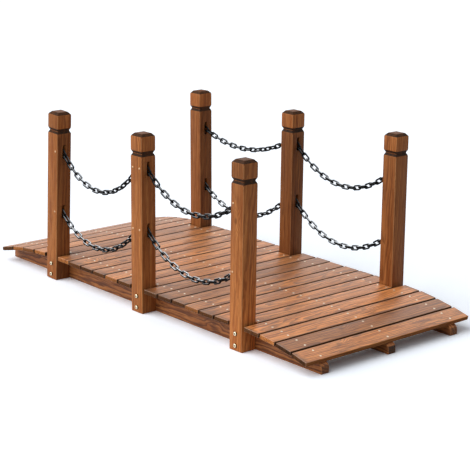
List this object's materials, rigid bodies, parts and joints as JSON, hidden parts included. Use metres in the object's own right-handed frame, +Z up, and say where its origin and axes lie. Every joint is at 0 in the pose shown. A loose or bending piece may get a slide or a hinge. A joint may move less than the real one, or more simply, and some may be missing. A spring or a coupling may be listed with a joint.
{
  "type": "garden footbridge",
  "caption": "Low garden footbridge: slatted wooden deck with curved ramp ends, square posts with grooved caps, and hanging chain rails on both sides.",
  "frame": {"origin": "on the ground at the centre of the footprint", "axes": "+X along the walkway, +Y across it towards the back side, +Z up"},
  "size_m": [1.5, 0.67, 0.5533],
  "materials": {
    "stained_wood": "semi-gloss brown stain on fir",
    "deck_wood": "semi-gloss light brown stain on fir",
    "chain_steel": "dark steel with worn highlights",
    "zinc": "bright yellow zinc plating"
  },
  "bodies": {
    "root": {"front_stringer": "stained_wood", "middle_stringer": "stained_wood", "back_stringer": "stained_wood", "front_left_post": "stained_wood", "front_middle_post": "stained_wood", "front_right_post": "stained_wood", "back_left_post": "stained_wood", "back_middle_post": "stained_wood", "back_right_post": "stained_wood", "deck_board_01": "deck_wood", "deck_board_02": "deck_wood", "deck_board_03": "deck_wood", "deck_board_04": "deck_wood", "deck_board_05": "deck_wood", "deck_board_06": "deck_wood", "deck_board_07": "deck_wood", "deck_board_08": "deck_wood", "deck_board_09": "deck_wood", "deck_board_10": "deck_wood", "deck_board_11": "deck_wood", "deck_board_12": "deck_wood", "deck_board_13": "deck_wood", "deck_board_14": "deck_wood", "deck_board_15": "deck_wood", "deck_board_16": "deck_wood", "deck_board_17": "deck_wood", "deck_board_18": "deck_wood", "deck_board_19": "deck_wood", "deck_board_20": "deck_wood", "deck_board_21": "deck_wood", "deck_board_22": "deck_wood", "deck_board_23": "deck_wood", "front_left_upper_chain": "chain_steel", "front_left_lower_chain": "chain_steel", "front_right_upper_chain": "chain_steel", "front_right_lower_chain": "chain_steel", "back_left_upper_chain": "chain_steel", "back_left_lower_chain": "chain_steel", "back_right_upper_chain": "chain_steel", "back_right_lower_chain": "chain_steel", "front_chain_pins": "zinc", "back_chain_pins": "zinc", "front_post_screws": "zinc", "back_post_screws": "zinc"}
  },
  "joints": []
}
